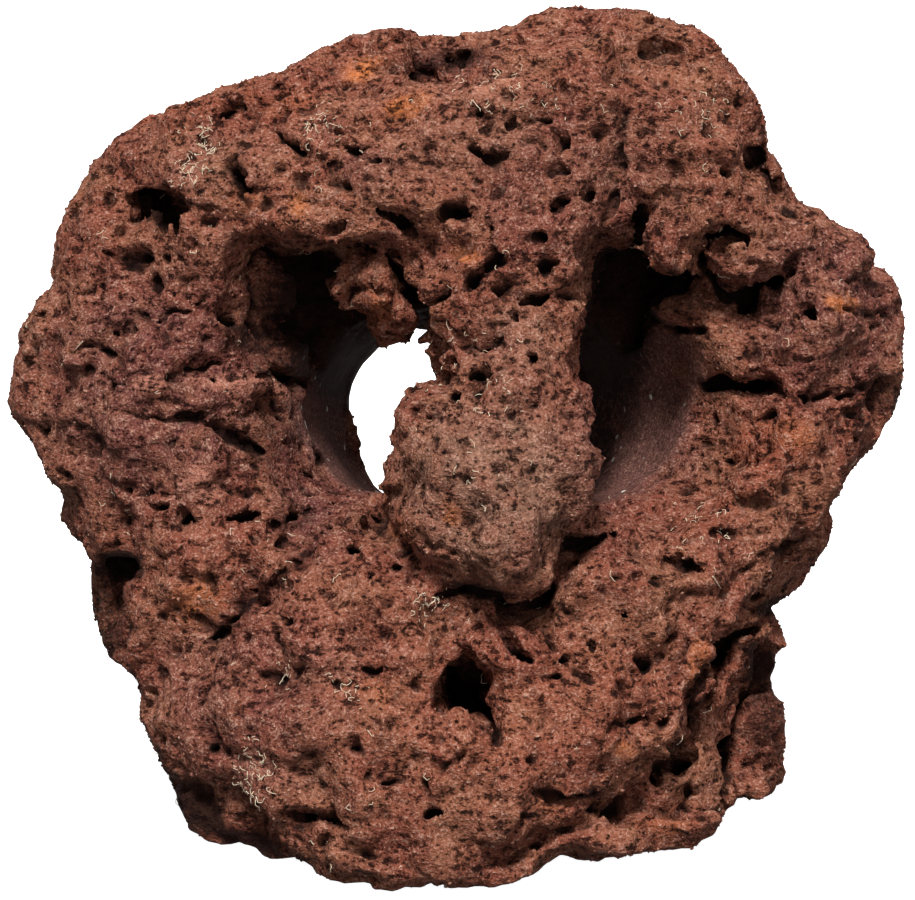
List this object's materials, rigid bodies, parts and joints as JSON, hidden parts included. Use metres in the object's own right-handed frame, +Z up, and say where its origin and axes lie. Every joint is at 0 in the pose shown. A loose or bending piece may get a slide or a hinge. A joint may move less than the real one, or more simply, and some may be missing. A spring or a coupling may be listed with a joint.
{
  "type": "lava rock",
  "caption": "Red-brown porous lava rock standing on a flat sole, with two round tunnels that open either side of a stone pillar and meet at one hole behind.",
  "frame": {"origin": "middle of the rock's box, on the flat sole that it stands on", "axes": "+Z up, +X to the right when the pillar and the two openings are seen from the front, +Y from the front to the back"},
  "size_m": [0.2294, 0.156, 0.1946],
  "materials": {
    "red_scoria": "rough matt red-brown scoria, full of gas holes, with rust orange and purplish patches and a few pale dry rootlets"
  },
  "bodies": {
    "root": {"lava_rock": "red_scoria"}
  },
  "joints": []
}
